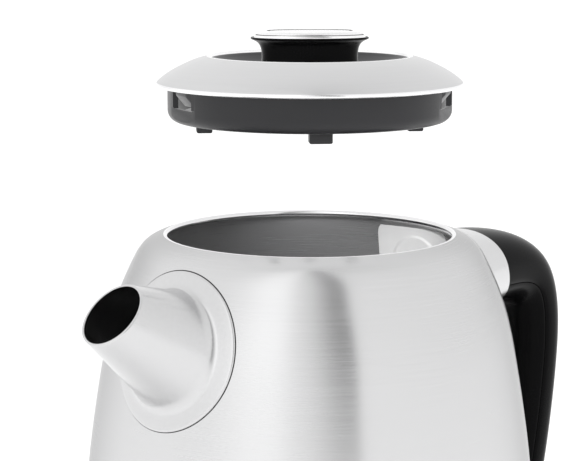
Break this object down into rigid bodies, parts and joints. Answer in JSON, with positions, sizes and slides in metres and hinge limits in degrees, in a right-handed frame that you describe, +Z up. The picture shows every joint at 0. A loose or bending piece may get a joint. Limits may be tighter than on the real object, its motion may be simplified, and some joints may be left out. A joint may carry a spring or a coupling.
{
  "type": "electric kettle",
  "caption": "Cordless brushed-steel electric kettle with a cone spout, black loop handle and round power base; its pull-off lid is stored raised above the opening.",
  "frame": {"origin": "on the kettle's vertical axis, in the plane that the power base's rubber feet stand on", "axes": "+Z up along the kettle's axis, -X towards the spout, +X towards the handle, +Y towards the cord inlet"},
  "size_m": [0.2443, 0.1636, 0.2725],
  "materials": {
    "brushed_steel": "satin brushed",
    "polished_steel": "fine satin",
    "mesh_steel": "plain mill finish",
    "screw_steel": "plain zinc",
    "silver_cap": "satin silver",
    "gloss_black": "gloss moulded",
    "black_plastic": "fine textured",
    "dark_plastic": "satin moulded",
    "grey_plastic": "moulded",
    "white_plastic": "semi-gloss moulded",
    "silicone": "matt",
    "foot_rubber": "matt",
    "contact_brass": "plain",
    "aluminium": "cast",
    "lens": "tinted, clear"
  },
  "bodies": {
    "power_base": {"base_top": "black_plastic", "base_plate": "black_plastic", "base_feet": "foot_rubber", "base_screws": "screw_steel", "base_connector": "black_plastic", "base_contacts": "contact_brass", "terminal_block": "grey_plastic", "cord_inlet": "foot_rubber"},
    "coupler_socket": {"socket_sleeve": "black_plastic", "socket_contacts": "contact_brass"},
    "kettle": {"vessel_wall": "brushed_steel", "vessel_shoulder": "brushed_steel", "spout": "brushed_steel", "strainer_frame": "grey_plastic", "strainer_mesh": "mesh_steel", "steam_cover": "white_plastic", "steam_tube": "white_plastic", "element_plate": "mesh_steel", "element_seal": "silicone", "heat_diffuser": "aluminium", "heating_element": "aluminium", "control_unit": "grey_plastic", "bimetal_discs": "contact_brass", "base_ring": "black_plastic", "bottom_cover": "black_plastic", "bottom_screws": "screw_steel", "handle_collar": "brushed_steel", "handle_bracket": "mesh_steel", "handle_back": "gloss_black", "handle_front": "gloss_black", "handle_screws": "screw_steel", "lever_pin": "screw_steel"},
    "switch": {"switch_lever": "gloss_black", "lever_lens": "lens"},
    "lid": {"lid_ring": "polished_steel", "lid_dish": "dark_plastic", "lid_skirt": "dark_plastic", "lid_bottom": "dark_plastic", "lid_screws": "screw_steel", "knob_body": "gloss_black", "knob_insert": "silver_cap", "knob_screw": "screw_steel", "catch_springs": "mesh_steel"},
    "catch_l": {"catch_left": "dark_plastic"},
    "catch_r": {"catch_right": "dark_plastic"}
  },
  "joints": [
    {"name": "kettle_lift", "type": "slide", "parent": "power_base", "child": "coupler_socket", "axis": [0, 0, 1], "range_m": [0, 0.06]},
    {"name": "kettle_turn", "type": "hinge", "parent": "coupler_socket", "child": "kettle", "pos_m": [0, 0, 0.03], "axis": [0, 0, 1], "continuous": true},
    {"name": "switch_press", "type": "hinge", "parent": "kettle", "child": "switch", "pos_m": [0.07, 0, 0.0285], "axis": [0, 1, 0], "range_deg": [0, 12]},
    {"name": "lid_lift", "type": "slide", "parent": "kettle", "child": "lid", "axis": [0, 0, 1], "range_m": [-0.052, 0.02]},
    {"name": "catch_left_press", "type": "slide", "parent": "lid", "child": "catch_l", "axis": [0.9415, -0.3371, 0], "range_m": [0, 0.0014], "stiffness_N_per_m": 150},
    {"name": "catch_right_press", "type": "slide", "parent": "lid", "child": "catch_r", "axis": [-0.4115, 0.9114, 0], "range_m": [0, 0.0014], "stiffness_N_per_m": 150}
  ]
}
